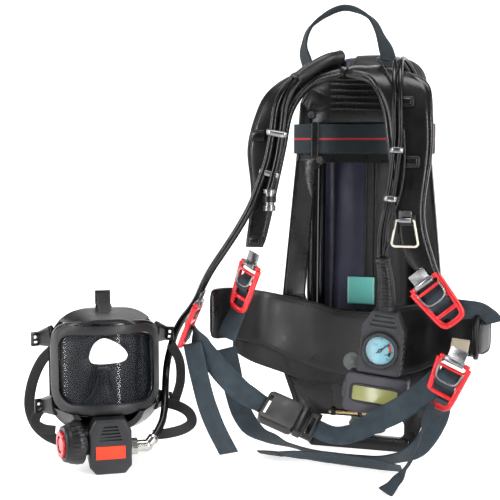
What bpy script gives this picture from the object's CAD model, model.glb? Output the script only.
import math

import bmesh
import bpy
from mathutils import Matrix, Vector, noise


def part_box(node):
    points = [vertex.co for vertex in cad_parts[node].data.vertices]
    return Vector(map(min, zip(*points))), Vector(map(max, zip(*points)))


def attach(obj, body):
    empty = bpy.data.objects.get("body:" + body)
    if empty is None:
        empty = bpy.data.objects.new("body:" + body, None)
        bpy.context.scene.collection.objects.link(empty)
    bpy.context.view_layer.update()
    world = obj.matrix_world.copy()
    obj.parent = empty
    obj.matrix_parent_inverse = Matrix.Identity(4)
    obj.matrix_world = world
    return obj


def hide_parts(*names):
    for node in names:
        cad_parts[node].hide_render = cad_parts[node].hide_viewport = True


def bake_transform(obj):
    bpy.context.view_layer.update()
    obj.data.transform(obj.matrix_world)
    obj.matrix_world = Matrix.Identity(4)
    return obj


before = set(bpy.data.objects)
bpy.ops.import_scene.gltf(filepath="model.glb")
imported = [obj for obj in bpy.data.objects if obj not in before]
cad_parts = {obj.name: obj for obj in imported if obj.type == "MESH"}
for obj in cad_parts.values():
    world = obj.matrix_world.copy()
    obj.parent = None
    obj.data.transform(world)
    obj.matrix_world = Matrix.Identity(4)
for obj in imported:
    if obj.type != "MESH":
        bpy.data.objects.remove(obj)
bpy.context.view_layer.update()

MM = 0.001
UP = Vector((0, 0, 1))

# The camera stands at the height of the frame's window and looks 16 degrees to the left.
CAMERA_AT = (0.2673, -1.5879, 0.494)
CAMERA_AZIMUTH = 16
CAMERA_DROP = 6
CAMERA_LENS = 72
SKY_STRENGTH = 0.16

WEB_W = 35 * MM
WEB_T = 1.6 * MM
SHARP_ANGLE = 35
BEVEL_ANGLE = 32
BEVEL_SEGMENTS = 2
PACK = "pack"

# Places that the CAD model also uses, in millimetres
PAD_SIDE = [(-17, 602), (-44, 608), (-84, 584), (-110, 530), (-121, 450), (-126, 380), (-129, 320),
            (-127, 262)]
BELT_PLAN = [(-207, -152), (-190, -92), (-150, -44), (-80, -28), (0, -27), (80, -28), (145, -44),
             (182, -84), (190, -128)]
HOSE_TO_MASK = [
    (-134, -142, 432), (-142, -144.5, 408), (-156, -146, 382), (-172, -147, 356), (-190, -147, 330),
    (-208, -145, 305), (-224, -138, 279), (-238, -126, 254), (-255, -111, 234), (-272, -94, 219),
    (-290, -82, 194), (-300, -78, 167), (-305, -84, 140), (-303, -96, 114), (-297, -114, 92),
    (-290, -136, 74), (-286, -160, 58), (-291, -182, 44),
]
MASK = Matrix.Translation(Vector((-392, -140, 0)) * MM) @ Matrix.Rotation(math.radians(29), 4, "Z")
CONSOLE = Matrix.Translation(Vector((50, -112, 190)) * MM) @ Matrix.Rotation(math.radians(6), 4, "Y")
LDV = (MASK @ Matrix.Translation(Vector((-32, -86, 46)) * MM) @ Matrix.Rotation(math.radians(12), 4, "Z")
       @ Matrix.Rotation(math.radians(-90), 4, "Y"))
CYLINDER_Y = 104
PAD_THICKNESS = 12.0
ADJUSTERS = {
    "shoulder_left": ((-144, -150, 314), (0.30, 0, 0.954), 40),
    "shoulder_right": ((114, -141, 295), (-0.64, 0, 0.77), 0),
    "waist_left": ((-219, -173, 256), (0.39, 0, 0.92), 84),
    "waist_right": ((161, -150, 184), (0.36, 0, 0.93), 14),
}


# ---------------------------------------------------------------- curves
def mm(points):
    """Millimetre tuples as vectors in metres."""
    return [Vector(point) * MM for point in points]


def smooth_path(points, count):
    """Evenly spaced points on a smooth curve through the given ones."""
    points = [Vector(p) for p in points]
    fine = []
    for i in range(len(points) - 1):
        a, b = points[i], points[i + 1]
        before = points[i - 1] if i else a * 2 - b
        after = points[i + 2] if i + 2 < len(points) else b * 2 - a
        for k in range(24):
            t = k / 24
            fine.append(0.5 * ((2 * a) + (b - before) * t + (2 * before - 5 * a + 4 * b - after) * t * t
                               + (3 * a - before - 3 * b + after) * t ** 3))
    fine.append(points[-1])
    lengths = [0.0]
    for a, b in zip(fine, fine[1:]):
        lengths.append(lengths[-1] + (b - a).length)
    result = []
    j = 0
    for k in range(count):
        target = lengths[-1] * k / (count - 1)
        while j < len(fine) - 2 and lengths[j + 1] < target:
            j += 1
        span = lengths[j + 1] - lengths[j]
        t = (target - lengths[j]) / span if span > 1e-12 else 0.0
        result.append(fine[j].lerp(fine[j + 1], min(max(t, 0.0), 1.0)))
    return result


def superellipse(count, half_u, half_n, power):
    """Points round a flat rounded section, as pairs of across and outward."""
    points = []
    for k in range(count):
        angle = math.tau * k / count
        c, s = math.cos(angle), math.sin(angle)
        points.append((half_u * math.copysign(abs(c) ** power, c),
                       half_n * math.copysign(abs(s) ** power, s)))
    return points


# ---------------------------------------------------------------- mesh pieces
def piece(name, mesh_or_data, material, body=PACK):
    """Links an object, gives it its material and lets it ride."""
    obj = bpy.data.objects.new(name, mesh_or_data)
    bpy.context.scene.collection.objects.link(obj)
    if material is not None:
        obj.data.materials.append(material)
    if body is not None:
        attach(obj, body)
    return obj


def shell_mesh(name, shells, uv=None):
    """One mesh from closed shells, each a list of rings and whether it joins up with itself."""
    mesh = bpy.data.meshes.new(name)
    verts, faces = [], []
    for rings, closed in shells:
        count = len(rings[0])
        base = len(verts)
        verts += [tuple(point) for ring in rings for point in ring]
        for i in range(len(rings) if closed else len(rings) - 1):
            a, b = base + i * count, base + ((i + 1) % len(rings)) * count
            faces += [(a + k, a + (k + 1) % count, b + (k + 1) % count, b + k) for k in range(count)]
        if not closed:
            last = base + (len(rings) - 1) * count
            faces.append(tuple(reversed(range(base, base + count))))
            faces.append(tuple(range(last, last + count)))
    mesh.from_pydata(verts, [], faces)
    if uv is not None:
        layer = mesh.uv_layers.new(name="strip")
        flat = [pair for ring in uv for pair in ring]
        for loop in mesh.loops:
            layer.data[loop.index].uv = flat[loop.vertex_index]
    mesh.polygons.foreach_set("use_smooth", [True] * len(mesh.polygons))
    fix_normals(mesh)
    return mesh


def loft(name, rings, material, body=PACK, closed=False, uv=None):
    """A closed body through rings of equal count; uv holds a pair for each point of each ring."""
    return piece(name, shell_mesh(name, [(rings, closed)], uv), material, body)


def bar(points, half_u, half_n, across, power=0.7, count=20, steps=None):
    """Rings of a rounded section swept along a route."""
    path = smooth_path(points, steps) if steps else [Vector(p) for p in points]
    frames = frames_along(path, [Vector(across)] * len(path))
    section = superellipse(count, half_u, half_n, power)
    return [[point + side * u + normal * n for u, n in section] for point, side, normal in frames]


def fix_normals(mesh):
    """Turns every face outwards."""
    bm = bmesh.new()
    bm.from_mesh(mesh)
    bmesh.ops.recalc_face_normals(bm, faces=bm.faces)
    bm.to_mesh(mesh)
    bm.free()


def frames_along(path, across):
    """For each point the across direction and the outward normal."""
    result = []
    for i, point in enumerate(path):
        along = (path[min(i + 1, len(path) - 1)] - path[max(i - 1, 0)]).normalized()
        side = across[i] - along * across[i].dot(along)
        side.normalize()
        result.append((point, side, along.cross(side)))
    return result


def blend_values(values, steps):
    """A smooth list of numbers from a few given along the way."""
    if isinstance(values, (int, float)):
        return [values] * steps
    return [v.x for v in smooth_path_even([Vector((value, 0, 0)) for value in values], steps)]


def smooth_path_even(points, steps):
    """Points spread evenly by index, not by distance."""
    result = []
    for k in range(steps):
        place = k / (steps - 1) * (len(points) - 1)
        i = min(int(place), len(points) - 2)
        t = place - i
        t = t * t * (3 - 2 * t)
        result.append(points[i].lerp(points[i + 1], t))
    return result


def ribbon(name, points, across, material, width=WEB_W, thickness=WEB_T, steps=60, body=PACK,
           slot="navy_webbing"):
    """Flat webbing on a smooth route, its width direction given at each point."""
    path = smooth_path(mm(points), steps)
    sides = smooth_path_even([Vector(a).normalized() for a in across], steps)
    widths, depths = blend_values(width, steps), blend_values(thickness, steps)
    spread = 10
    rings, uvs = [], []
    length = 0.0
    for i, (point, side, normal) in enumerate(frames_along(path, sides)):
        if i:
            length += (point - path[i - 1]).length
        ring, uv = [], []
        for face in (1, -1):
            for k in range(spread + 1):
                u = (k / spread - 0.5) * face
                edge = 1 - 0.55 * (abs(u) * 2) ** 8
                ring.append(point + side * (u * widths[i]) + normal * (face * depths[i] / 2 * edge))
                uv.append((u * widths[i], length))
        rings.append(ring)
        uvs.append(uv)
    return loft(name, rings, material, body, uv=uvs)


def spline_curve(name, points):
    """A curve with these control points on one smooth spline."""
    data = bpy.data.curves.new(name, "CURVE")
    data.dimensions = "3D"
    spline = data.splines.new("NURBS")
    spline.points.add(len(points) - 1)
    for target, point in zip(spline.points, points):
        target.co = (*point, 1)
    spline.order_u = 3
    spline.use_endpoint_u = True
    spline.resolution_u = 8
    return data


def tube(name, points, radius, material, body=PACK):
    """A round bar or cable on a smooth spline."""
    data = spline_curve(name, points)
    data.bevel_depth = radius
    data.bevel_resolution = 5
    data.use_fill_caps = True
    return piece(name, data, material, body)


def turned(name, profile, place, material, body=PACK, steps=72, wave=None, closed=False):
    """A body of revolution about the local Z of place; profile holds radius and height in millimetres."""
    rings = []
    for radius, height in profile:
        ring = []
        for k in range(steps):
            angle = math.tau * k / steps
            r = radius + (wave(angle, height, radius) if wave else 0)
            ring.append(place @ (Vector((r * math.cos(angle), r * math.sin(angle), height)) * MM))
        rings.append(ring)
    return loft(name, rings, material, body, closed)


def soften(node, width):
    """Rounds a CAD node's sharp edges by that many millimetres, without touching its mesh."""
    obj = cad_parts[node]
    weld = obj.modifiers.new("weld", "WELD")
    weld.merge_threshold = 0.00002
    bevel = obj.modifiers.new("bevel", "BEVEL")
    bevel.width = width * MM
    bevel.segments = BEVEL_SEGMENTS
    bevel.limit_method = "ANGLE"
    bevel.angle_limit = math.radians(BEVEL_ANGLE)
    bevel.harden_normals = True
    shade(node)


def shade(node):
    """Smooth shading for a CAD node, with its true edges kept sharp."""
    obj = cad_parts[node]
    mesh = obj.data
    mesh.polygons.foreach_set("use_smooth", [True] * len(mesh.polygons))
    mesh.set_sharp_from_angle(angle=math.radians(SHARP_ANGLE))


def paint(node, material):
    """Gives a carried CAD node its material."""
    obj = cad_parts[node]
    obj.data.materials.clear()
    obj.data.materials.append(material)


# ---------------------------------------------------------------- materials
class Recipe:
    """One node material, built step by step."""

    def __init__(self, name, color, roughness, metallic=0.0, **sockets):
        self.material = bpy.data.materials.new(name)
        self.material.use_nodes = True
        self.tree = self.material.node_tree
        self.shader = self.tree.nodes["Principled BSDF"]
        self.shader.inputs["Base Color"].default_value = (*color, 1)
        self.shader.inputs["Roughness"].default_value = roughness
        self.shader.inputs["Metallic"].default_value = metallic
        self.shader.inputs["Specular IOR Level"].default_value = 0.5 if metallic else 0.36
        for socket, value in sockets.items():
            self.shader.inputs[socket.replace("_", " ")].default_value = value

    def add(self, kind, **values):
        node = self.tree.nodes.new(kind)
        for key, value in values.items():
            if hasattr(node, key):
                setattr(node, key, value)
            else:
                node.inputs[key.replace("_", " ")].default_value = value
        return node

    def link(self, source, target):
        self.tree.links.new(source, target)

    def math(self, operation, a, b=None):
        node = self.add("ShaderNodeMath", operation=operation)
        for socket, value in ((0, a), (1, b)):
            if isinstance(value, (int, float)):
                node.inputs[socket].default_value = value
            elif value is not None:
                self.link(value, node.inputs[socket])
        return node.outputs[0]

    def coords(self, kind="Object"):
        return self.add("ShaderNodeTexCoord").outputs[kind]

    def noise(self, scale, detail=4.0, stretch=None):
        node = self.add("ShaderNodeTexNoise", Scale=scale, Detail=detail)
        source = self.coords()
        if stretch:
            mapping = self.add("ShaderNodeMapping")
            mapping.inputs["Scale"].default_value = stretch
            self.link(source, mapping.inputs["Vector"])
            source = mapping.outputs[0]
        self.link(source, node.inputs["Vector"])
        return node.outputs["Fac"]

    def ramp(self, value, stops):
        node = self.add("ShaderNodeValToRGB")
        elements = node.color_ramp.elements
        for i, (place, color) in enumerate(stops):
            element = elements[i] if i < 2 else elements.new(place)
            element.position = place
            element.color = (*color, 1)
        self.link(value, node.inputs[0])
        return node.outputs[0]

    def tint(self, value, dark, light, low=0.35, high=0.65):
        self.link(self.ramp(value, [(low, dark), (high, light)]), self.shader.inputs["Base Color"])
        return self

    def vary_roughness(self, value, low, high):
        node = self.add("ShaderNodeMapRange")
        node.inputs["From Min"].default_value = 0.3
        node.inputs["From Max"].default_value = 0.7
        node.inputs["To Min"].default_value = low
        node.inputs["To Max"].default_value = high
        self.link(value, node.inputs["Value"])
        self.link(node.outputs[0], self.shader.inputs["Roughness"])
        return self

    def bump(self, height, strength, distance):
        node = self.add("ShaderNodeBump", Strength=strength, Distance=distance)
        self.link(height, node.inputs["Height"])
        earlier = self.shader.inputs["Normal"].links
        if earlier:
            self.link(earlier[0].from_socket, node.inputs["Normal"])
        self.link(node.outputs[0], self.shader.inputs["Normal"])
        return self


def plastic(name, dark, light, rough, grain=1400, strength=0.12, **sockets):
    """Moulded plastic: fine spark grain, faint mottling and rubbed patches."""
    recipe = Recipe(name, dark, rough[0], **sockets)
    recipe.tint(recipe.noise(18, 5), dark, light)
    recipe.vary_roughness(recipe.noise(45, 6), *rough)
    recipe.bump(recipe.noise(grain, 2), strength, 0.0002)
    return recipe.material


def metal(name, dark, light, rough):
    """Metal with fine drawn marks."""
    recipe = Recipe(name, dark, rough[0], 1.0)
    marks = recipe.noise(240, 6, (1, 1, 14))
    recipe.tint(marks, dark, light)
    recipe.vary_roughness(recipe.noise(70, 5), *rough)
    recipe.bump(marks, 0.05, 0.0001)
    return recipe.material


def coated_fabric(name, dark, light, rough):
    """Shiny coated padding: leather-like grain over soft creases."""
    recipe = Recipe(name, dark, rough[0])
    recipe.tint(recipe.noise(24, 6), dark, light)
    recipe.vary_roughness(recipe.noise(30, 5), *rough)
    grain = recipe.add("ShaderNodeTexVoronoi", feature="DISTANCE_TO_EDGE", Scale=520.0)
    recipe.link(recipe.coords(), grain.inputs["Vector"])
    recipe.bump(recipe.noise(40, 5), 0.25, 0.0012)
    recipe.bump(grain.outputs["Distance"], 0.12, 0.0004)
    return recipe.material


def rubber(name, dark, light, rough):
    """Moulded rubber with a little bloom and dust."""
    recipe = Recipe(name, dark, rough[0])
    recipe.tint(recipe.noise(60, 7), dark, light, 0.4, 0.65)
    recipe.vary_roughness(recipe.noise(35, 6), *rough)
    recipe.bump(recipe.noise(700, 3), 0.03, 0.0001)
    return recipe.material


def weave_height(recipe, across, along, rib=1.9 * MM, pick=1.1 * MM):
    """Herringbone weave height from the strip coordinates, in metres."""
    zig = recipe.math("PINGPONG", across, rib * 2)
    slanted = recipe.math("ADD", along, recipe.math("MULTIPLY", zig, 0.9))
    wave = recipe.math("SINE", recipe.math("MULTIPLY", slanted, math.tau / pick))
    rows = recipe.math("SINE", recipe.math("MULTIPLY", across, math.tau / (rib / 2)))
    return recipe.math("ADD", recipe.math("MULTIPLY", wave, 0.5), recipe.math("MULTIPLY", rows, 0.35))


def webbing(name, dark, light, stripes=()):
    """Woven webbing, with coloured stripes given as (low, high, colour) across its width in metres."""
    recipe = Recipe(name, dark, 0.62)
    recipe.shader.inputs["Sheen Weight"].default_value = 0.06
    split = recipe.add("ShaderNodeSeparateXYZ")
    recipe.link(recipe.coords("UV"), split.inputs[0])
    across, along = split.outputs[0], split.outputs[1]
    height = weave_height(recipe, across, along)
    worn = recipe.math("ADD", recipe.math("MULTIPLY", height, 0.35), recipe.noise(55, 5))
    color = recipe.ramp(worn, [(0.25, dark), (0.8, light)])
    for low, high, stripe in stripes:
        inside = recipe.math("MULTIPLY", recipe.math("GREATER_THAN", across, low),
                             recipe.math("LESS_THAN", across, high))
        mix = recipe.add("ShaderNodeMix", data_type="RGBA")
        recipe.link(inside, mix.inputs["Factor"])
        recipe.link(color, mix.inputs["A"])
        mix.inputs["B"].default_value = (*stripe, 1)
        color = mix.outputs["Result"]
    recipe.link(color, recipe.shader.inputs["Base Color"])
    recipe.bump(height, 0.5, 0.0004)
    return recipe.material


def cover_cloth(name, dark, light):
    """Smooth proofed cloth with a fine ripstop grid and soft folds."""
    recipe = Recipe(name, dark, 0.5)
    recipe.shader.inputs["Sheen Weight"].default_value = 0.05
    recipe.tint(recipe.noise(12, 6), dark, light)
    split = recipe.add("ShaderNodeSeparateXYZ")
    recipe.link(recipe.coords(), split.inputs[0])
    grid = recipe.math("ADD",
                       recipe.math("SINE", recipe.math("MULTIPLY", split.outputs[0], math.tau / 0.0016)),
                       recipe.math("SINE", recipe.math("MULTIPLY", split.outputs[2], math.tau / 0.0016)))
    recipe.vary_roughness(recipe.noise(50, 6), 0.42, 0.6)
    recipe.bump(recipe.noise(9, 3, (3, 3, 0.6)), 0.5, 0.008)
    recipe.bump(grid, 0.2, 0.0002)
    return recipe.material


def clear(name, tint, strength, roughness):
    """Clear moulded polycarbonate: a thin tinted skin that mostly lets light through."""
    recipe = Recipe(name, tint, roughness, Alpha=strength, IOR=1.7)
    recipe.shader.inputs["Specular IOR Level"].default_value = 0.5
    recipe.vary_roughness(recipe.noise(30, 3), roughness, roughness + 0.03)
    return recipe.material


MAT = {
    "frame": plastic("frame_black", (0.003, 0.003, 0.0035), (0.008, 0.008, 0.0085), (0.22, 0.36)),
    "trim": plastic("trim_black", (0.004, 0.004, 0.0045), (0.010, 0.010, 0.011), (0.26, 0.42), 900),
    "lens_frame": plastic("lens_frame_grey", (0.009, 0.009, 0.010), (0.017, 0.017, 0.019), (0.36, 0.52),
                          700, 0.2),
    "console": plastic("console_grey", (0.012, 0.0125, 0.015), (0.022, 0.023, 0.027), (0.34, 0.5), 800, 0.2),
    "monitor": plastic("monitor_grey", (0.022, 0.022, 0.029), (0.036, 0.036, 0.045), (0.3, 0.45), 800, 0.2),
    "button": plastic("button_dark", (0.03, 0.03, 0.035), (0.05, 0.05, 0.056), (0.35, 0.5), 700, 0.2),
    "wheel": plastic("wheel_grey", (0.11, 0.12, 0.12), (0.20, 0.21, 0.21), (0.35, 0.5), 700, 0.2),
    "pad": coated_fabric("pad_gloss", (0.003, 0.003, 0.0035), (0.009, 0.009, 0.0095), (0.2, 0.34)),
    "belt": coated_fabric("belt_black", (0.003, 0.003, 0.0035), (0.009, 0.0088, 0.0088), (0.26, 0.42)),
    "quilt": coated_fabric("quilt_black", (0.004, 0.004, 0.0045), (0.011, 0.011, 0.012), (0.4, 0.55)),
    "hose": rubber("hose_gloss", (0.003, 0.003, 0.0035), (0.007, 0.007, 0.0075), (0.14, 0.26)),
    "rubber": rubber("rubber_black", (0.004, 0.004, 0.0045), (0.012, 0.012, 0.013), (0.3, 0.46)),
    "blank": rubber("rubber_mask", (0.003, 0.003, 0.0035), (0.009, 0.009, 0.010), (0.2, 0.34)),
    "inner": rubber("rubber_inner", (0.002, 0.002, 0.0025), (0.005, 0.005, 0.006), (0.42, 0.55)),
    "shroud": rubber("rubber_grey", (0.012, 0.012, 0.013), (0.024, 0.024, 0.026), (0.28, 0.42)),
    "red": plastic("ring_red", (0.50, 0.008, 0.012), (0.62, 0.014, 0.02), (0.2, 0.34), 900, 0.06,
                   Coat_Weight=0.3),
    "orange": plastic("panel_red", (0.72, 0.03, 0.008), (0.86, 0.05, 0.012), (0.28, 0.4), 900, 0.08),
    "steel": metal("steel", (0.2, 0.2, 0.21), (0.36, 0.36, 0.37), (0.22, 0.38)),
    "nickel": metal("nickel", (0.38, 0.37, 0.35), (0.58, 0.56, 0.53), (0.16, 0.3)),
    "brass": metal("brass", (0.62, 0.42, 0.2), (0.75, 0.55, 0.28), (0.22, 0.36)),
    "cream": plastic("wire_cream", (0.55, 0.52, 0.42), (0.66, 0.63, 0.54), (0.3, 0.45)),
    "web": webbing("webbing_navy", (0.005, 0.011, 0.017), (0.020, 0.037, 0.050)),
    "handle": webbing("webbing_handle", (0.003, 0.008, 0.011), (0.012, 0.024, 0.031)),
    "band": webbing("webbing_band", (0.004, 0.010, 0.013), (0.012, 0.023, 0.029),
                    ((-0.0015, 0.0015, (0.42, 0.015, 0.025)),)),
    "beige": webbing("webbing_beige", (0.30, 0.26, 0.19), (0.44, 0.39, 0.30)),
    "black_web": webbing("webbing_black", (0.007, 0.007, 0.008), (0.02, 0.02, 0.022)),
    "cover": cover_cloth("cover_navy", (0.010, 0.010, 0.026), (0.022, 0.022, 0.050)),
    "cover_dark": cover_cloth("cover_black", (0.003, 0.003, 0.004), (0.008, 0.008, 0.010)),
    "tag": cover_cloth("tag_turquoise", (0.12, 0.52, 0.46), (0.17, 0.62, 0.55)),
    "white": plastic("label_white", (0.62, 0.6, 0.55), (0.75, 0.73, 0.68), (0.5, 0.6)),
    "dial": plastic("dial_blue", (0.25, 0.60, 0.72), (0.32, 0.68, 0.80), (0.3, 0.42)),
    "ink": plastic("ink_black", (0.006, 0.006, 0.007), (0.01, 0.01, 0.011), (0.35, 0.5)),
    "lcd": plastic("lcd_olive", (0.20, 0.20, 0.07), (0.27, 0.27, 0.10), (0.08, 0.14), 300, 0.02),
    "glass": clear("lens_clear", (0.012, 0.018, 0.03), 0.12, 0.1),
}


# ---------------------------------------------------------------- carried CAD nodes
def dress_nodes():
    """Materials and rounded edges for the CAD nodes that stay."""
    finishes = {
        "frame": ["back_frame"],
        "trim": ["cam_buckle_base", "cam_lever", "buckle_female", "buckle_male", "head_buckles",
                 "coupler_collar", "valve_guard"],
        "lens_frame": ["lens_frame"],
        "console": ["console_body", "gauge_bezel", "valve_cover", "ldv_body"],
        "monitor": ["monitor_housing"],
        "button": ["monitor_button_left", "monitor_button_right"],
        "wheel": ["valve_handwheel"],
        "hose": ["shoulder_hoses", "gauge_hoses"],
        "red": ["bypass_ring", "reset_button"],
        "orange": ["cover_trim"],
        "steel": ["frame_screws", "adjuster_brackets", "coupler_body", "valve_body", "reducer_body",
                  "reducer_nut", "bail_holder", "cylinder_shell"],
        "nickel": ["inlet_elbow"],
        "brass": ["retaining_pin"],
        "cream": ["wire_bail"],
        "dial": ["gauge_dial"],
        "ink": ["gauge_needle"],
        "lcd": ["lcd_window"],
        "glass": ["gauge_lens", "mask_lens"],
        "blank": ["face_blank"],
    }
    for key, nodes in finishes.items():
        for node in nodes:
            paint(node, MAT[key])
            shade(node)
    for node in ("back_frame", "buckle_female", "buckle_male", "valve_cover", "console_body"):
        soften(node, 1.0)
    for node in ("cam_lever", "cam_buckle_base", "head_buckles", "bail_holder", "adjuster_brackets",
                 "monitor_housing", "lens_frame"):
        soften(node, 0.7)


# ---------------------------------------------------------------- cylinder cover
def cylinder_cover():
    """A gathered cloth sleeve: ribbed dome, smooth body, drawn-in foot."""
    low, high = (corner.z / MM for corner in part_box("cylinder_cover"))
    place = Matrix.Translation(Vector((0, CYLINDER_Y, 0)) * MM)
    outer = [(46, low + 5), (60, low), (78, low + 5), (85, low + 18), (86.2, low + 60)]
    outer += [(86.4, low + 60 + 40 * k) for k in range(1, 10)]
    crown = [math.radians(a) for a in range(0, 90, 6)]
    outer += [(42 + 44 * math.cos(a), high - 44 + 43 * math.sin(a)) for a in crown]
    outer += [(36, high - 0.6), (24, high - 0.2), (10, high), (1, high)]

    def gathers(angle, height, radius):
        top = max(0.0, min(1.0, (height - (high - 62)) / 40))
        foot = max(0.0, min(1.0, (low + 30 - height) / 30))
        fade = min(1.0, radius / 40)
        ribs = abs(math.sin(angle * 22)) * 2.2 - 1.6
        folds = 0.5 * math.sin(angle * 5 + height * 0.012) + 0.4 * math.sin(angle * 9 - height * 0.02)
        return ribs * max(top * fade, foot * 0.5) + folds - 0.5

    cover = turned("cover_sleeve", outer, place, MAT["cover"], steps=264, wave=gathers)
    cover.data.materials.append(MAT["cover_dark"])
    for polygon in cover.data.polygons:
        centre = polygon.center
        polygon.material_index = 1 if centre.x > 0.004 or centre.y > CYLINDER_Y * MM else 0
    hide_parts("cylinder_cover")


def cover_side_flaps():
    """The cover's two sewn flaps that reach behind the frame's rails."""
    for side in (-1, 1):
        rings = []
        for k in range(41):
            z = 150 + 8 * k
            sway = 0.8 * math.sin(z * 0.045)
            route = [(-70, 63.5), (-78, 57.5 + sway), (-86, 51.6 + sway), (-93.4, 46)]
            ring = [Vector((-side * x, y - 1.2, z)) * MM for x, y in route]
            ring += [Vector((-side * x, y + 1.2, z)) * MM for x, y in reversed(route)]
            rings.append(ring)
        loft(f"cover_side_flap_{(side + 1) // 2}", rings, MAT["cover_dark"])


def on_cover(x, z, lift):
    """A point just outside the cover's front at the given x and height."""
    radius = 87 + lift
    return Vector((x, CYLINDER_Y - math.sqrt(radius ** 2 - x ** 2), z))


def cover_zip():
    """Two piping cords with a toothed tape between them, down the front of the cover."""
    heights = range(250, 590, 20)
    for x in (2, 17):
        tube(f"cover_piping_{x}", [on_cover(x, z, 0.9) * MM for z in heights], 1.6 * MM, MAT["trim"])
    points = [tuple(on_cover(9.5, z, 1.0)) for z in heights]
    ribbon("cover_zip_tape", points, [(1, 0.1, 0)] * len(points), MAT["black_web"], 11 * MM, 1.0 * MM,
           slot="cover_fabric")


def cover_tag():
    """A plain turquoise name tag with a folded edge and a sewn border."""
    rings, uvs = [], []
    for i in range(15):
        z = 236 + 44 * i / 14
        sag = 1.2 * math.sin(i / 14 * math.pi)
        ring, uv = [], []
        for face in (1, -1):
            for k in range(13):
                x = -26 + 44 * (k / 12 if face > 0 else 1 - k / 12)
                ring.append(Vector((x, 14.6 - sag - 0.8 * math.sin(x * 0.12) - 0.45 * face, z)) * MM)
                uv.append((x * MM, z * MM))
        rings.append(ring)
        uvs.append(uv)
    loft("name_tag", rings, MAT["tag"], uv=uvs)
    for x in (-24, 16):
        tube(f"tag_seam_{x + 30}", mm([(x, 12.6, 238), (x, 12.2, 258), (x, 12.6, 278)]), 0.35 * MM,
             MAT["white"])


def cover_flap():
    """The black flap sewn over the front of the dome."""
    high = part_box("cylinder_cover")[1].z / MM
    rings, uvs = [], []
    for i in range(25):
        angle = math.radians(-14 + 96 * i / 24)
        radius = 42 + 46.6 * math.cos(angle) if angle > 0 else 88.6
        z = high - 44 + 45.5 * math.sin(angle)
        ring, uv = [], []
        for face in (1, -1):
            for k in range(13):
                x = -22 + 46 * (k / 12 if face > 0 else 1 - k / 12)
                y = CYLINDER_Y - math.sqrt(max(radius ** 2 - x ** 2, 1))
                ring.append(Vector((x, y - 0.7 * face, z + 0.3 * face)) * MM)
                uv.append((x * MM, i * 3 * MM))
        rings.append(ring)
        uvs.append(uv)
    loft("cover_flap", rings, MAT["cover_dark"], uv=uvs)


# ---------------------------------------------------------------- band and handle
def hull_path(half_width, front, back, radius, count):
    """The plan line of the band round the frame and the cylinder."""
    corners = [(-half_width, back), (-half_width, front), (half_width, front), (half_width, back)]
    centre = Vector((0, CYLINDER_Y))
    to_corner = Vector((half_width, back)) - centre
    lean = math.atan2(to_corner.y, to_corner.x) + math.acos(radius / to_corner.length)
    arc = []
    for k in range(count):
        angle = lean + (math.pi - 2 * lean) * k / (count - 1)
        arc.append((radius * math.cos(angle), CYLINDER_Y + radius * math.sin(angle)))
    return corners + arc


def cylinder_band():
    """The striped webbing band, tight round the frame and the cylinder."""
    low, high = (corner.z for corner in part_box("cylinder_band"))
    outline = hull_path(111, -10.6, 7, 89.8, 40)
    middle = (low + high) / 2
    path = []
    for i, (x, y) in enumerate(outline):
        nx, ny = outline[(i + 1) % len(outline)]
        for k in range(6):
            path.append(Vector((x + (nx - x) * k / 6, y + (ny - y) * k / 6, 0)) * MM)
    rings, uvs = [], []
    length = 0.0
    for i, point in enumerate(path):
        along = (path[(i + 1) % len(path)] - path[i - 1]).normalized()
        normal = along.cross(UP)
        ring, uv = [], []
        for face in (1, -1):
            for k in range(17):
                u = (k / 16 - 0.5) * face
                edge = 1 - 0.5 * (abs(u) * 2) ** 8
                offset = normal * (face * 1.1 * MM * edge)
                ring.append(point + offset + UP * (middle + u * (high - low)))
                uv.append((u * (high - low), length))
        rings.append(ring)
        uvs.append(uv)
        length += (path[(i + 1) % len(path)] - point).length
    band = loft("band_webbing", rings, MAT["band"], closed=True, uv=uvs)
    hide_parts("cylinder_band")


def band_bridge():
    """The two upright bars that hold the band against the frame."""
    for name, x in (("left", -76), ("right", 64)):
        rings = []
        for z, half in ((474, 4), (477, 6), (500, 6), (528, 6), (531, 4)):
            section = superellipse(20, half, 2.2, 0.45)
            rings.append([Vector((x + u, -14.4 + n, z)) * MM for u, n in section])
        loft(f"band_bridge_{name}", rings, MAT["frame"])


def carry_handle():
    """The webbing loop: folded and sewn double at the top, flaring open at its two ends."""
    points = [(-82, 0, 596), (-92, 0, 622), (-98, 0, 650), (-84, 0, 684), (-36, 0, 709), (8, 0, 692),
              (28, 0, 656), (38, 0, 628), (42, 0, 602)]
    across = [(0.9, -0.4, 0.35), (0.8, -0.6, 0.2), (0.6, -0.8, 0.1), (0.5, -0.7, 0.4), (0.1, -0.5, 0.85),
              (-0.5, -0.7, 0.4), (-0.6, -0.75, 0.1), (-0.85, -0.5, -0.2), (-0.9, -0.4, -0.35)]
    widths = [w * MM for w in (27, 25, 16, 11, 10, 11, 16, 24, 28)]
    depths = [t * MM for t in (2.4, 2.6, 4.5, 6, 6.5, 6, 4.5, 2.6, 2.4)]
    handle = ribbon("handle_webbing", points, across, MAT["handle"], widths, depths, 110)
    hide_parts("carry_handle")


# ---------------------------------------------------------------- padding
def side_point(length):
    """A point (y, z) that far along the shoulder pads' side curve, and the outward direction."""
    curve = smooth_path([Vector((0, y, z)) for y, z in PAD_SIDE], 160)
    travelled = 0.0
    for a, b in zip(curve, curve[1:]):
        step = (b - a).length
        if travelled + step >= length:
            break
        travelled += step
    along = (b - a).normalized()
    point = a + along * (length - travelled)
    outward = Vector((0, along.z, -along.y))
    return point, outward * (1 if outward.y < 0 or outward.z > 0.5 else -1)


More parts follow.
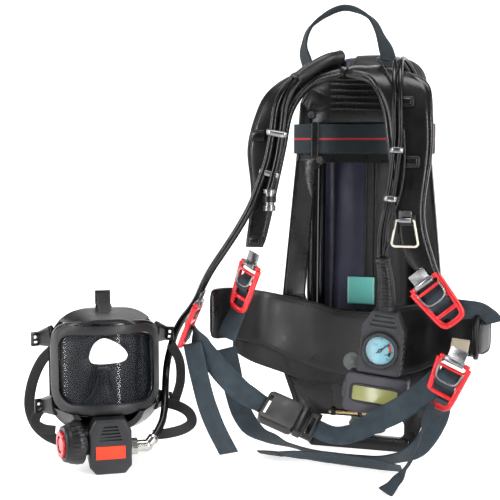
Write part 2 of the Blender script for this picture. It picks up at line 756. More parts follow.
def pad(name, inner, outer, node):
    """One shoulder pad between two edge lines given as (x, distance along the side curve)."""
    stations = 70
    inner_path = smooth_path([Vector((x, s, 0)) for x, s in inner], stations)
    outer_path = smooth_path([Vector((x, s, 0)) for x, s in outer], stations)
    rings, uvs = [], []
    for i, (a, b) in enumerate(zip(inner_path, outer_path)):
        middle = (a + b) / 2
        half = (b - a) / 2
        swell = max(0.35, min(1.0, i / 1.5, (stations - 1 - i) / 1.5))
        ring, uv = [], []
        for u, n in superellipse(56, 1.0, PAD_THICKNESS / 2 * swell, 0.42):
            flat = middle + half * u
            point, outward = side_point(max(flat.y, 0.0))
            crown = 1.6 * (1 - u * u)
            groove = -1.3 * math.exp(-((abs(u) - 0.80) / 0.035) ** 2) if n > 0 else 0.0
            wrinkle = 0.5 * noise.noise(Vector((flat.x * 0.05, flat.y * 0.03, 3.0)))
            lift = n + (crown + groove + wrinkle if n > 0 else 0)
            ring.append((Vector((flat.x, point.y, point.z)) + outward * lift) * MM)
            uv.append((flat.x * MM, flat.y * MM))
        rings.append(ring)
        uvs.append(uv)
    obj = loft(name, rings, MAT["pad"], uv=uvs)
    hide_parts(node)


def shoulder_pads():
    pad("pad_left", [(-20.6, 47), (-60, 72), (-88, 118), (-98, 178), (-110, 239), (-124, 305), (-131, 328)],
        [(-20.6, 0), (-48, 6), (-72, 32), (-110, 62), (-135, 92), (-147, 122), (-158, 178), (-151, 239),
         (-153, 285), (-158, 328)], "shoulder_pad_left")
    pad("pad_right", [(-20.4, 47), (20, 72), (44, 118), (55, 178), (66, 251), (78, 325), (104, 362)],
        [(-20.4, 0), (26, 4), (54, 36), (94, 62), (113, 84), (119, 122), (121, 178), (112, 273), (128, 340),
         (142, 375)],
        "shoulder_pad_right")


def belt_frame(steps):
    """Points and outward normals along the belt's plan line."""
    path = smooth_path([Vector((x, y, 0)) for x, y in BELT_PLAN], steps)
    result = []
    for i, point in enumerate(path):
        along = (path[min(i + 1, steps - 1)] - path[max(i - 1, 0)]).normalized()
        result.append((point, Vector((along.y, -along.x, 0))))
    return result


def between(table, x):
    """Linear interpolation in a short list of (x, value) pairs."""
    for (x0, v0), (x1, v1) in zip(table, table[1:]):
        if x <= x1:
            return v0 + (v1 - v0) * max(0.0, min(1.0, (x - x0) / (x1 - x0)))
    return table[-1][1]


def curve_of(table):
    """A smooth curve through (x, value) pairs, as a function of x."""
    fine = [(p.x, p.y) for p in smooth_path([Vector((x, value, 0)) for x, value in table], 120)]
    return lambda x: between(fine, x)


def hip_belt():
    """The wide belt: a crowned band with a piped edge, curling forward at both wings."""
    top = [(-210, 276), (-150, 259), (-70, 242), (-30, 231), (24, 231), (66, 242), (150, 256), (200, 248)]
    bottom = [(-210, 199), (-150, 168), (-80, 136), (0, 122), (80, 134), (150, 168), (200, 184)]
    frames = belt_frame(110)
    top_line, bottom_line = curve_of(top), curve_of(bottom)
    rings, uvs = [], []
    length = 0.0
    for i, (point, outward) in enumerate(frames):
        length += (point - frames[i - 1][0]).length if i else 0.0
        high, low = top_line(point.x), bottom_line(point.x)
        end = min(1.0, i / 4, (len(frames) - 1 - i) / 4)
        round_off = math.sqrt(max(0.0, 1 - (1 - end) ** 2))
        half = (high - low) / 2 * (0.72 + 0.28 * round_off)
        ring, uv = [], []
        for u, n in superellipse(60, 1.0, 5.4 * max(0.3, round_off), 0.4):
            groove = -0.5 * math.exp(-((abs(u) - 0.9) / 0.02) ** 2) if n > 0 else 0.0
            slack = 1.2 * noise.noise(Vector((length * 0.016, u * 1.6, 8.0)))
            crown = 1.2 * (1 - u * u)
            offset = outward * (n + (crown if n > 0 else 0) + groove + slack)
            height = (high + low) / 2 + half * u
            ring.append((Vector((point.x, point.y, height)) + offset) * MM)
            uv.append((height * MM, length * MM))
        rings.append(ring)
        uvs.append(uv)
    belt = loft("belt_cover", rings, MAT["belt"], uv=uvs)
    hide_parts("hip_belt")


def lumbar_pad():
    """The quilted pad below and behind the belt, sewn in diamonds."""
    frames = [(p, n) for p, n in belt_frame(150) if -186 < p.x < 56]
    low_line = curve_of([(-190, 172), (-160, 140), (-110, 118), (-60, 108), (60, 113)])
    high_line = curve_of([(-190, 190), (-150, 180), (-60, 177), (60, 177)])
    rings, uvs = [], []
    length = 0.0
    for i, (point, outward) in enumerate(frames):
        length += (point - frames[i - 1][0]).length if i else 0.0
        base = point - outward * 11.2
        low, high = low_line(point.x), high_line(point.x)
        end = max(0.35, min(1.0, i / 4, (len(frames) - 1 - i) / 4))
        ring, uv = [], []
        for u, n in superellipse(72, 1.0, 3.4 * end, 0.4):
            height = (high + low) / 2 + (high - low) / 2 * u
            diamond = min(abs(math.sin((length + height) * math.pi / 15)),
                          abs(math.sin((length - height) * math.pi / 15)))
            puff = 0.9 * min(1.0, diamond * 3) - 0.9
            ring.append((Vector((base.x, base.y, height)) + outward * (n + math.copysign(puff, n))) * MM)
            uv.append((height * MM, length * MM))
        rings.append(ring)
        uvs.append(uv)
    obj = loft("lumbar_quilt", rings, MAT["quilt"], uv=uvs)
    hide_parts("lumbar_pad")


def belt_pouch():
    """The padded end of the right wing, with grey piping round it."""
    place = Matrix.Translation(Vector((194, -101, 214)) * MM) @ Matrix.Rotation(math.radians(72), 4, "Z")
    rings = []
    for depth, scale in ((-7, 0.86), (-6, 0.97), (-2, 1.0), (3, 1.0), (6, 0.95), (7.5, 0.8), (8, 0.4)):
        rings.append([place @ (Vector((u * scale, -depth, n * scale)) * MM)
                      for u, n in superellipse(48, 24, 25, 0.55)])
    loft("belt_pouch", rings, MAT["belt"])
    outline = [place @ (Vector((u, -6.2, n)) * MM) for u, n in superellipse(24, 23.4, 24.4, 0.55)]
    tube("pouch_piping", outline + outline[:1], 1.0 * MM, MAT["shroud"])


# ---------------------------------------------------------------- webbing
def rope_of_web(name, points, across, node=None, material="web", **options):
    """One run of harness webbing, and the CAD node that it stands for."""
    obj = ribbon(name, points, across, MAT[material], **options)
    if node:
        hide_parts(node)
    return obj


def waist_webbing():
    left = [(-226, -178, 222), (-214, -180, 196), (-196, -180, 172), (-174, -179, 148),
            (-150, -177, 126), (-117, -175, 107)]
    left_across = [(0.4, -0.8, 0.2), (0.7, -0.2, 0.4), (0.8, 0, 0.5), (0.7, 0.35, 0.6), (0.4, 0.65, 0.65),
                   (0.18, 0.87, 0.5)]
    rope_of_web("waist_web_left", left, left_across, "waist_straps", width=34 * MM, steps=80)
    right = [(-40, -175, 79), (-14, -175, 70), (10, -176, 72), (34, -177, 84), (56, -177, 98),
             (82, -173, 112), (106, -162, 128), (124, -148, 142), (138, -141, 156)]
    right_across = [(0.18, 0.87, 0.5), (0.1, 0.85, 0.5), (-0.1, 0.75, 0.6), (-0.3, 0.6, 0.75),
                    (-0.4, 0.4, 0.8), (-0.45, 0.2, 0.85), (-0.6, 0.1, 0.75), (-0.75, 0.1, 0.6),
                    (-0.85, 0.1, 0.4)]
    web = rope_of_web("waist_web_right", right, right_across, width=34 * MM, steps=80, body=None)
    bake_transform(web)


def shoulder_webbing():
    left = [(-157, -142, 280), (-161, -141, 262), (-167, -145, 240), (-174, -152, 222), (-181, -158, 202)]
    left_across = [(0.73, -0.64, -0.23), (0.75, -0.6, -0.2), (0.85, -0.4, -0.1), (0.95, -0.2, 0), (1, 0, 0.2)]
    rope_of_web("shoulder_web_left", left, left_across, "shoulder_straps", width=32 * MM)
    right = [(138, -134, 266), (154, -131, 258), (172, -129, 257), (188, -124, 256), (202, -116, 248),
             (213, -105, 236)]
    right_across = [(0.6, 0, 0.8), (0.5, 0, 0.85), (0.3, -0.3, 0.9), (0.3, -0.45, 0.8),
                    (0.3, -0.55, 0.7), (0.25, -0.65, 0.6)]
    rope_of_web("shoulder_web_right", right, right_across, width=32 * MM)


def loose_webbing():
    tail = [(-228, -178, 196), (-222, -181, 172), (-214, -182, 140), (-205, -180, 104), (-193, -173, 66),
            (-176, -160, 23)]
    rope_of_web("tail_left", tail, [(1, -0.3, 0.3), (1, -0.3, 0.25), (1, -0.3, 0.25), (1, -0.25, 0.3),
                                    (1, -0.3, 0.4), (1, -0.3, 0.45)], "loose_webbing", steps=70)
    loop = [(-196, -110, 176), (-190, -104, 140), (-186, -94, 104), (-176, -82, 62), (-155, -74, 34),
            (-118, -66, 19), (-74, -76, 12), (-28, -90, 11), (20, -96, 12), (64, -92, 14),
            (104, -76, 30), (128, -72, 70), (138, -90, 108), (146, -112, 148)]
    loop_across = [(0.9, 0.4, 0), (0.9, 0.4, 0), (0.9, 0.4, 0.1), (0.8, 0.1, 0.5), (0.35, -0.6, 0.75),
                   (0, -0.85, 0.5), (0, -0.85, 0.5), (0, -0.8, 0.6), (0, -0.8, 0.6), (0, -0.7, 0.7),
                   (-0.4, -0.4, 0.9), (-0.9, -0.3, 0.3), (-1, -0.4, 0), (-1, -0.5, 0)]
    rope_of_web("floor_loop", loop, loop_across, steps=150, width=33 * MM)
    right = [(128, -160, 124), (124, -172, 102), (118, -178, 76), (108, -181, 50), (96, -184, 30),
             (84, -196, 14), (72, -212, 3)]
    right_across = [(0.7, -0.6, 0.2), (0.5, -0.8, 0), (0.2, -0.9, 0.1), (0.3, -0.8, 0.4), (0.5, -0.6, 0.6),
                    (0.8, -0.3, 0.3), (0.95, 0.1, 0.05)]
    rope_of_web("tail_right", right, right_across, steps=70, width=24 * MM)
    layer = [(-118, -96, 8), (-84, -98, 10), (-40, -104, 12), (6, -112, 12.5), (48, -118, 12), (84, -122, 10)]
    layer_across = [(0.1, -0.8, 0.5), (0, -0.7, 0.7), (0, -0.55, 0.83), (0, -0.55, 0.83), (0, -0.6, 0.8),
                    (0.2, -0.75, 0.6)]
    rope_of_web("floor_layer", layer, layer_across, steps=70, width=26 * MM)
    rope_of_web("dark_tip", [(-148, -88, 6), (-132, -92, 7), (-112, -97, 8.4)],
                [(0.1, -0.8, 0.5)] * 3, material="black_web", width=[13 * MM, 22 * MM, 26.6 * MM],
                thickness=3 * MM, steps=24)


def beige_tab():
    """The pale tab that anchors the right waist ring to the belt."""
    rope_of_web("waist_tab", [(168, -132, 214), (166, -142, 200), (163, -149, 188)],
                [(0.9, -0.2, -0.3), (0.92, -0.2, -0.35), (0.93, -0.2, -0.36)], material="beige",
                width=26 * MM, steps=20)


# ---------------------------------------------------------------- hoses
def hose_to_mask():
    hose = tube("mask_hose_line", mm(HOSE_TO_MASK), 6 * MM, MAT["hose"])
    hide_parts("mask_hose")
    length = spline_length(mm(HOSE_TO_MASK))


def spline_length(points):
    """The real length of the line that a tube on these points follows."""
    probe = bpy.data.objects.new("probe", spline_curve("probe", points))
    bpy.context.scene.collection.objects.link(probe)
    bpy.context.view_layer.update()
    line = bpy.data.meshes.new_from_object(probe)
    bpy.data.objects.remove(probe)
    ends = [[line.vertices[index].co for index in edge.vertices] for edge in line.edges]
    return sum((a - b).length for a, b in ends)


def hose_shroud():
    """The rubber sleeve where the two hoses leave the yoke."""
    path = smooth_path(mm([(-36, -34, 627), (-50, -56, 622), (-70, -78, 608), (-90, -97, 590)]), 30)
    rings = []
    for i, (point, side, normal) in enumerate(frames_along(path, [Vector((0.5, -0.6, 0.4))] * 30)):
        t = i / 29
        flare = 1 + 0.10 * math.exp(-(t / 0.08) ** 2) + 0.16 * math.exp(-((1 - t) / 0.06) ** 2)
        rings.append([point + side * (u * flare) + normal * (n * flare)
                      for u, n in superellipse(36, 15 * MM, 9.5 * MM, 0.8)])
    obj = loft("shroud_sleeve", rings, MAT["shroud"])
    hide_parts("hose_shroud")


def thin_cables():
    """Two sensor leads that follow the right hoses down to the monitor."""
    outer = [(44, -36, 622), (26, -48, 628), (34, -66, 618), (56, -96, 592), (74, -122, 548),
             (78, -132, 500), (72, -138, 440), (66, -142, 400), (70, -138, 372), (60, -128, 350),
             (54, -118, 334), (52, -114, 322)]
    tube("sensor_lead_long", mm(outer), 1.7 * MM, MAT["hose"])
    short = [(80, -128, 516), (84, -134, 470), (80, -140, 430), (72, -143, 402), (62, -140, 380),
             (56, -128, 352), (50, -116, 326)]
    tube("sensor_lead_short", mm(short), 1.5 * MM, MAT["hose"])


# ---------------------------------------------------------------- console
def console_boot():
    """The ribbed rubber neck between the hoses and the gauge."""
    path = smooth_path([CONSOLE @ (Vector((0, 0, 58)) * MM)] + mm([(55, -112, 290), (49.5, -113, 327)]), 90)
    rings = []
    for i, (point, side, normal) in enumerate(frames_along(path, [Vector((1, 0, 0))] * 90)):
        t = i / 89
        r = (15.0 + (10.0 - 15.0) * t + 1.4 * math.exp(-((t - 0.95) / 0.03) ** 2)) * MM
        rings.append([point + side * u + normal * n for u, n in superellipse(40, r, r * 0.94, 0.9)])
    shells = [(rings, False)]
    for k in range(13):
        t = 0.1 + 0.066 * k
        centre = path[int(t * 89)]
        r = (15.0 - 5.0 * t) * MM
        half = r * 0.55
        ends = [centre + Vector((x * half, -math.sqrt(r * r - (x * half) ** 2) * 0.96, 0))
                for x in (-1, -0.5, 0, 0.5, 1)]
        shells.append((bar(ends, 1.1 * MM, 1.2 * MM, UP, 0.8, count=12, steps=10), False))
    boot = piece("boot_ribbed", shell_mesh("boot_ribbed", shells), MAT["rubber"], PACK)
    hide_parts("console_boot")


def dial_marks():
    """Scale ticks, numerals and the red end of the dial."""
    for k in range(31):
        angle = math.radians(-135 + 9 * k)
        major = k % 5 == 0
        mark(f"dial_tick_{k:02d}", angle, 14.4 if major else 16.8, 19.4, 1.0 if major else 0.5, MAT["ink"])
    for k in range(8):
        mark(f"dial_red_{k}", math.radians(52 + 5 * k), 13.0, 16.6, 1.35, MAT["orange"])
    for k in range(5):
        mark(f"dial_dark_{k}", math.radians(96 + 5 * k), 13.0, 16.6, 1.35, MAT["ink"])
    for value, angle in ((0, -118), (100, -45), (200, 45), (300, 118)):
        numeral(str(value), math.radians(angle), 11.4)


def mark(name, angle, inner, outer, width, material):
    """One short printed line on the dial."""
    turn = Matrix.Rotation(angle, 4, "Y")
    corners = [(-width / 2, inner), (width / 2, inner), (width / 2, outer), (-width / 2, outer)]
    rings = [[CONSOLE @ turn @ (Vector((x, y, z)) * MM) for x, z in corners] for y in (-16.85, -16.55)]
    obj = loft(name, rings, material)
    obj.data.polygons.foreach_set("use_smooth", [False] * len(obj.data.polygons))


def numeral(text, angle, radius):
    """One number on the dial."""
    data = bpy.data.curves.new("numeral_" + text, "FONT")
    data.body = text
    data.size = 4.6 * MM
    data.extrude = 0.1 * MM
    data.align_x = "CENTER"
    data.align_y = "CENTER"
    obj = bpy.data.objects.new("numeral_" + text, data)
    bpy.context.scene.collection.objects.link(obj)
    data.materials.append(MAT["ink"])
    centre = Vector((math.sin(angle) * radius, -16.8, math.cos(angle) * radius)) * MM
    obj.matrix_world = CONSOLE @ Matrix.Translation(centre) @ Matrix.Rotation(math.radians(90), 4, "X")
    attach(obj, PACK)


def console_trim():
    """Grip ridges down the body's sides and the raised frame round the display."""
    for side in (-1, 1):
        for k in range(7):
            z = -28 + 8 * k
            ends = [CONSOLE @ (Vector((side * 33.4, y, z)) * MM) for y in (-15, -6, 4, 13)]
            tube(f"grip_ridge_{(side + 1) // 2}_{k}", ends, 1.3 * MM, MAT["console"])
    frame_line = [CONSOLE @ (Vector((u, -18.4, -69 + n)) * MM) for u, n in superellipse(28, 37, 14, 0.35)]
    tube("display_frame", frame_line + frame_line[:1], 1.7 * MM, MAT["console"])


# ---------------------------------------------------------------- mask
def polar_reach(outline, centre):
    """A function giving the distance from centre to a closed outline at any angle."""
    known = sorted((math.atan2(p.y - centre.y, p.x - centre.x), (p - centre).length) for p in outline)
    known = [(known[-1][0] - math.tau, known[-1][1])] + known + [(known[0][0] + math.tau, known[0][1])]

    def reach(angle):
        for (a, ra), (b, rb) in zip(known, known[1:]):
            if a <= angle <= b:
                return ra + (rb - ra) * (angle - a) / max(b - a, 1e-9)
        return known[-1][1]
    return reach


def lens_gasket():
    """The dark gasket between the lens frame and the rubber face piece."""
    loop = [(u, 155.5 + n) for u, n in superellipse(96, 80, 67, 0.36)]
    spots = [Vector((u, -math.sqrt(89.0 ** 2 - u * u), z)) for u, z in loop]
    rings = []
    for k, spot in enumerate(spots):
        along = (spots[(k + 1) % 96] - spots[k - 1]).normalized()
        side = Vector((spot.x, spot.y, 0)).normalized()
        normal = along.cross(side)
        rings.append([MASK @ ((spot + side * (u - 3) + normal * n) * MM)
                      for u, n in superellipse(20, 6.5, 6, 0.6)])
    loft("lens_gasket", rings, MAT["blank"], closed=True)


def inner_seal():
    """The seal's inner flap behind the lens, with its rounded eye opening."""
    eye = [(-22, 153), (-19, 165), (-12, 177), (1, 184), (15, 180), (29, 171), (38, 161), (40, 153),
           (33, 145), (12, 142), (-8, 142), (-18, 145)]
    centre = Vector((8, 162, 0))
    edge = smooth_path([Vector((x, z, 0)) for x, z in eye + eye[:1]], 140)[:-1]
    inner = polar_reach(edge, centre)
    wall = [Vector((80 * u, 138 + 90 * n, 0)) for u, n in superellipse(240, 1.0, 1.0, 0.62)]
    for point in wall:
        if point.y > 190 and abs(point.x) > 22:
            point.y = 190 + (point.y - 190) * 0.15
    outer = polar_reach(wall, centre)
    rings = []
    for t, depth in ((0.0, 13.2), (0.015, 12), (0.3, 14), (0.7, 12), (1.0, 2), (1.0, 5), (0.7, 15),
                     (0.3, 17), (0.015, 15.6), (0.0, 14.4)):
        ring = []
        for k in range(160):
            angle = -math.pi + math.tau * k / 160
            distance = inner(angle) + (outer(angle) - inner(angle)) * t
            x, z = centre.x + distance * math.cos(angle), centre.y + distance * math.sin(angle)
            ring.append(MASK @ (Vector((x, depth, z)) * MM))
        rings.append(ring)
    loft("seal_flap", rings, MAT["inner"], closed=True)


def nose_cup():
    """A bell-shaped cup, drawn in at the bridge of the nose so its edges catch the light."""
    rows = [(74, 40, -30, 26), (84, 33, -32, 28), (96, 21, -34, 27), (110, 14, -32, 24), (124, 10, -26, 20),
            (134, 12, -14, 14), (139, 9, -6, 10)]
    rings = []
    for z, half, front, depth in rows:
        middle = front + depth
        rings.append([MASK @ (Vector((u, middle + n, z)) * MM)
                      for u, n in superellipse(48, half, depth, 0.8)])
    cup = loft("nose_bell", rings, MAT["inner"])
    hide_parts("nose_cup")


def ldv_cap():
    """The demand valve's round rubber cap: grip flutes at the rim, two moulded steps."""
    profile = [(20.5, 10.3), (31, 10.2), (33, 12), (33, 20), (32, 23), (31, 28), (29.6, 31.5), (28.6, 32.5),
               (27.8, 36), (26.4, 39), (24, 40), (21.2, 39.6), (20.5, 38.4)]
    obj = turned("cap_rubber", profile, LDV, MAT["rubber"], steps=144, wave=grip_flutes,
                 closed=True)
    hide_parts("ldv_cap")


def grip_flutes(angle, height, radius):
    """Shallow flutes round the widest part of the cap."""
    return 0.4 * math.cos(angle * 28) - 0.4 if radius > 30.5 else 0.0


def in_mask(points):
    """Mask millimetres as world millimetres."""
    return [tuple((MASK @ (Vector(p) * MM)) / MM) for p in points]


def buckle_lugs():
    """The rubber lugs that carry the five ladder buckles."""
    spots = [((-80, -32, 200), (-101, -6, 192)), ((80, -32, 200), (101, -6, 192)),
             ((-78, -34, 92), (-98, -2, 84)), ((78, -34, 92), (98, -2, 84)), ((0, -30, 228), (0, -8, 246))]
    for i, (root, tip) in enumerate(spots):
        route = [MASK @ (Vector(p) * MM) for p in (root, tip)]
        path = smooth_path([route[0], route[0].lerp(route[1], 0.5), route[1]], 12)
        frames = frames_along(path, [Vector((0, 0, 1)) if i < 4 else MASK.to_3x3() @ Vector((1, 0, 0))] * 12)
        rings = []
        for k, (point, side, normal) in enumerate(frames):
            half = (17 - 6 * k / 11) * MM
            thick = (5.5 - 1.5 * k / 11) * MM
            rings.append([point + side * u + normal * n for u, n in superellipse(28, half, thick, 0.6)])
        loft(f"buckle_lug_{i}", rings, MAT["blank"])


def head_harness():
    """Neck straps, the top strap tab and the free strap ends at the buckles."""
    facing = Vector((0.4, -0.9, 0.1))
    routes = {
        "neck_left": ([(-476, -150, 166), (-496, -150, 146), (-512, -152, 112), (-518, -154, 74),
                       (-508, -156, 44), (-486, -158, 26), (-458, -160, 18)], 17),
        "neck_right": ([(-284, -120, 180), (-276, -104, 150), (-276, -100, 116), (-284, -104, 84)], 15),
        "lower_left": ([(-482, -168, 78), (-494, -172, 64), (-496, -176, 50), (-482, -176, 42),
                        (-462, -174, 40)], 15),
        "lower_right": ([(-292, -120, 84), (-268, -124, 80), (-250, -130, 72), (-244, -138, 60),
                         (-254, -150, 52), (-276, -158, 46), (-300, -160, 42)], 16),
        "top_tab": (in_mask([(0, -72, 224), (0, -62, 233), (0, -40, 240), (0, -22, 247), (0, -9, 258),
                             (0, -3, 262), (0, 3, 254)]), 20),
    }
    for name, (points, width) in routes.items():
        across = []
        for k in range(len(points)):
            ahead = Vector(points[min(k + 1, len(points) - 1)])
            behind = Vector(points[max(k - 1, 0)])
            across.append(facing.cross(ahead - behind).normalized())
        if name == "top_tab":
            across = [tuple(MASK.to_3x3() @ Vector((1, 0, 0)))] * len(points)
        obj = ribbon("mask_" + name, points, across, MAT["black_web"], width * MM, 2.0 * MM, 50,
                     slot="rubber")
        if name == "neck_left":
            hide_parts("head_straps")


def hose_bands():
    """Bright metal bands that hold the hose pairs, each with its black strap keeper."""
    spots = [((-108, -132, 512), 15.5, (0.2, -0.3, 1)), ((-118, -137, 452), 15.5, (0.25, -0.1, 1)),
             ((71, -130.5, 486), 9.5, (0.05, 0.1, 1)), ((64, -137, 416), 9.5, (0.1, 0.05, 1))]
    shells = []
    for centre, half, up in spots:
        z = Vector(up).normalized()
        x = Vector((1, 0, 0))
        x = (x - z * x.dot(z)).normalized()
        y = z.cross(x)
        rings = []
        for height, grow in ((-4, 0.0), (-3.2, 0.8), (3.2, 0.8), (4, 0.0)):
            rings.append([Vector(centre) * MM + (x * u + y * n + z * height) * MM
                          for u, n in superellipse(44, half + grow, 7.4 + grow, 0.7)])
        shells.append((rings, False))
    bands = piece("hose_bands", shell_mesh("hose_bands", shells), MAT["steel"], PACK)
    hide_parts("hose_clips")


# ---------------------------------------------------------------- small trim
def ring_place(name):
    """The placement of an adjusting ring: X along its hinge, Z up the strap."""
    hinge, up, turn = ADJUSTERS[name]
    z = Vector(up).normalized()
    x = Matrix.Rotation(math.radians(-turn), 3, z) @ Vector((z.z, 0, -z.x))
    rows = Matrix((x, z.cross(x), z)).transposed().to_4x4()
    return Matrix.Translation(Vector(hinge) * MM) @ rows


def adjusting_rings():
    """The red rings: a thick rounded loop with two cross bars and a steel guide wire."""
    for name in ADJUSTERS:
        place = ring_place(name)
        loop = [(-23.6, -2), (-21.5, -28), (-18.6, -58), (-15.5, -66.5), (-8, -69.6), (8, -69.6),
                (15.5, -66.5), (18.6, -58), (21.5, -28), (23.6, -2)]
        route = [place @ (Vector((x, 0, z)) * MM) for x, z in loop]
        normal = place.to_3x3() @ Vector((0, 1, 0))
        shells = [(bar(route, 3.7 * MM, 4.3 * MM, normal, 0.8, steps=70), False)]
        for z, half, thick in ((-31.5, 21, 3.4), (-52, 19, 3.2), (-11.6, 23, 2.4)):
            ends = [place @ (Vector((x * half, -0.9 * (1 - x * x), z)) * MM) for x in (-1, -0.5, 0, 0.5, 1)]
            shells.append((bar(ends, 2.9 * MM, thick * MM, normal, 0.75, steps=16), False))
        for side in (-1, 1):
            ends = [place @ (Vector((side * x, 0, 0)) * MM) for x in (16, 23.5)]
            shells.append((bar(ends, 3.2 * MM, 3.6 * MM, normal, 0.9), False))
        ring = piece("ring_" + name, shell_mesh("ring_" + name, shells), MAT["red"], "ring_" + name)
        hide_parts("adjuster_" + name)
        pin = [place @ (Vector((x, 0, 0)) * MM) for x in (-20, 0, 20)]
        tube(f"ring_{name}_pin", pin, 2.8 * MM, MAT["steel"], body="ring_" + name)
        wire = [place @ (Vector(p) * MM) for p in ((-19, 0, -8), (-18.6, -4.6, -16), (-17, -5.4, -28),
                                                   (-10, -5.6, -33), (10, -5.6, -33), (17, -5.4, -28),
                                                   (18.6, -4.6, -16), (19, 0, -8))]
        tube(f"ring_{name}_wire", wire, 1.4 * MM, MAT["steel"], body="ring_" + name)
        webbing_in_ring(name, place)


def webbing_in_ring(name, place):
    """The short webbing fold round the ring's middle bar."""
    route = [(0, 4.5, -12), (0, 3.2, -19), (0, -3.4, -24.5), (0, -5.2, -31.5), (0, -3.2, -38.5),
             (0, 3.4, -42.5), (0, 4.6, -50), (0, 5, -60)]
    points = [tuple((place @ (Vector(p) * MM)) / MM) for p in route]
    across = [tuple(place.to_3x3() @ Vector((1, 0, 0)))] * len(points)
    ribbon(f"ring_{name}_fold", points, across, MAT["web"], 31 * MM, steps=50, body="ring_" + name)


def frame_trim():
    """The belt's pivot disc and the small red marker."""
    place = Matrix.Translation(Vector((-8, -33.6, 150)) * MM) @ Matrix.Rotation(math.radians(90), 4, "X")
    turned("pivot_disc", [(0.5, 2.6), (5, 2.6), (5.4, 1.6), (13, 1.4), (15, 0.6), (15, 0), (0.5, 0)], place,
           MAT["wheel"], steps=48)
    rings = [[Vector((-46 + u, -9.4 - d, 113 + n)) * MM for u, n in superellipse(20, 3.2, 5.5, 0.3)]
             for d in (0, 0.8)]
    loft("red_marker", rings, MAT["red"])


def pad_block(name, x, along, half_u, half_n, depth, material, lift=7.0):
    """A small moulded block that stands on a shoulder pad's face."""
    point, outward = side_point(along)
    up = Vector((1, 0, 0)).cross(outward)
    rings = []
    for height, grow in ((0, 0.96), (0.25, 1.0), (0.7, 1.0), (0.92, 0.94), (1.0, 0.84)):
        centre = Vector((x, point.y, point.z)) + outward * (lift + depth * height)
        rings.append([(centre + Vector((1, 0, 0)) * u * grow + up * n * grow) * MM
                      for u, n in superellipse(36, half_u, half_n, 0.35)])
    loft(name, rings, MAT[material])


def pad_keepers():
    """Moulded keepers that the hose straps run through, and a plain white label on the yoke."""
    spots = {"left_high": (-140, 160), "left_low": (-141, 318), "right_high": (80, 112),
             "right_mid": (92, 198), "right_low": (88, 282)}
    for name, (x, along) in spots.items():
        pad_block("keeper_" + name, x, along, 12, 8.5, 5, "trim")
        pad_block("keeper_face_" + name, x, along, 8.5, 5.5, 6.2, "hose")
    pad_block("yoke_label", -96, 70, 5, 6, 0.8, "white", lift=7.6)


# ---------------------------------------------------------------- stage
def backdrop_paper():
    """White paper that glows more and more towards the back, like a lit studio sweep."""
    paper = Recipe("paper_white", (0.82, 0.82, 0.82), 0.9)
    paper.shader.inputs["Emission Color"].default_value = (1, 1, 1, 1)
    split = paper.add("ShaderNodeSeparateXYZ")
    paper.link(paper.coords(), split.inputs[0])
    glow = paper.add("ShaderNodeMapRange")
    for socket, value in (("From Min", -0.75), ("From Max", 0.35), ("To Min", 0.05), ("To Max", 0.95)):
        glow.inputs[socket].default_value = value
    paper.link(split.outputs[1], glow.inputs["Value"])
    paper.link(glow.outputs[0], paper.shader.inputs["Emission Strength"])
    return paper.material


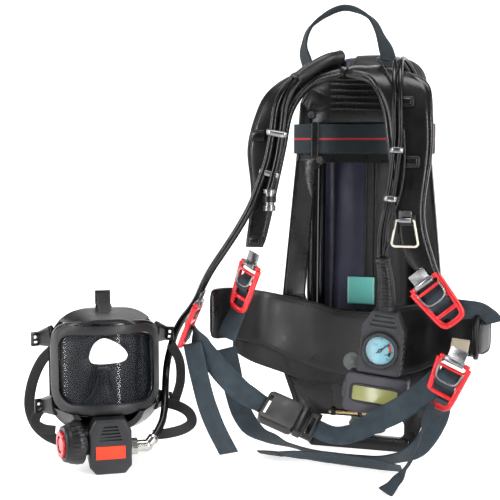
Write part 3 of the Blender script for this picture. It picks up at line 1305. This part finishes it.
def stage():
    """A pale floor that sweeps up behind, and soft lights."""
    mesh = bpy.data.meshes.new("floor")
    rows = [(-6, 0), (4.2, 0), (4.6, 0.05), (4.9, 0.25), (5.05, 0.6), (5.1, 1.2), (5.1, 5)]
    verts = [(x, y, z) for y, z in rows for x in (-8, 8)]
    faces = [(2 * i, 2 * i + 1, 2 * i + 3, 2 * i + 2) for i in range(len(rows) - 1)]
    mesh.from_pydata(verts, [], faces)
    mesh.polygons.foreach_set("use_smooth", [True] * len(mesh.polygons))
    floor = bpy.data.objects.new("floor", mesh)
    bpy.context.scene.collection.objects.link(floor)
    mesh.materials.append(backdrop_paper())
    lights = [
        ("key", (-1.6, -1.5, 1.5), (0, 0, 0.35), 0.6, 1.5, 19),
        ("strip_right", (0.95, -1.07, 0.7), (-0.1, 0, 0.3), 0.10, 1.3, 14),
        ("strip_left", (-1.2, -1.2, 0.6), (-0.1, 0, 0.35), 0.08, 1.2, 9),
        ("side_left", (-1.9, 0.1, 0.6), (-0.2, 0, 0.3), 0.4, 1.4, 14),
        ("side_right", (1.6, -0.1, 1.0), (0, 0, 0.3), 0.3, 1.5, 14),
        ("top", (0.0, -0.1, 2.2), (0, 0, 0.2), 1.4, 0.7, 20),
        ("visor_right", (-0.01, -0.445, 0.14), (-0.39, -0.2, 0.14), 0.045, 0.34, 0.7),
        ("visor_left", (-0.76, -0.457, 0.14), (-0.39, -0.2, 0.14), 0.03, 0.34, 0.4),
    ]
    for name, at, target, width, height, power in lights:
        data = bpy.data.lights.new(name, "AREA")
        data.shape = "RECTANGLE"
        data.size = width
        data.size_y = height
        data.energy = power
        light = bpy.data.objects.new(name, data)
        light.location = at
        light.visible_camera = False
        light.rotation_euler = (Vector(at) - Vector(target)).to_track_quat("Z", "Y").to_euler()
        bpy.context.scene.collection.objects.link(light)
    world = bpy.data.worlds.new("studio")
    world.use_nodes = True
    world.node_tree.nodes["Background"].inputs["Color"].default_value = (1, 1, 1, 1)
    world.node_tree.nodes["Background"].inputs["Strength"].default_value = SKY_STRENGTH
    bpy.context.scene.world = world
    bpy.context.scene.view_settings.view_transform = "Standard"


def camera():
    """A long lens in front of the pack, a little to its right."""
    data = bpy.data.cameras.new("camera")
    data.lens = CAMERA_LENS
    data.sensor_width = 36
    obj = bpy.data.objects.new("camera", data)
    obj.location = CAMERA_AT
    obj.rotation_euler = (math.radians(90 - CAMERA_DROP), 0, math.radians(CAMERA_AZIMUTH))
    bpy.context.scene.collection.objects.link(obj)
    bpy.context.scene.camera = obj


def build():
    camera()
    stage()
    dress_nodes()
    hose_to_mask()
    cylinder_cover()
    cover_side_flaps()
    cover_zip()
    cover_tag()
    cover_flap()
    cylinder_band()
    band_bridge()
    carry_handle()
    shoulder_pads()
    hip_belt()
    lumbar_pad()
    belt_pouch()
    waist_webbing()
    shoulder_webbing()
    loose_webbing()
    beige_tab()
    hose_shroud()
    thin_cables()
    console_boot()
    dial_marks()
    console_trim()
    lens_gasket()
    inner_seal()
    nose_cup()
    buckle_lugs()
    ldv_cap()
    head_harness()
    adjusting_rings()
    hose_bands()
    frame_trim()
    pad_keepers()


build()
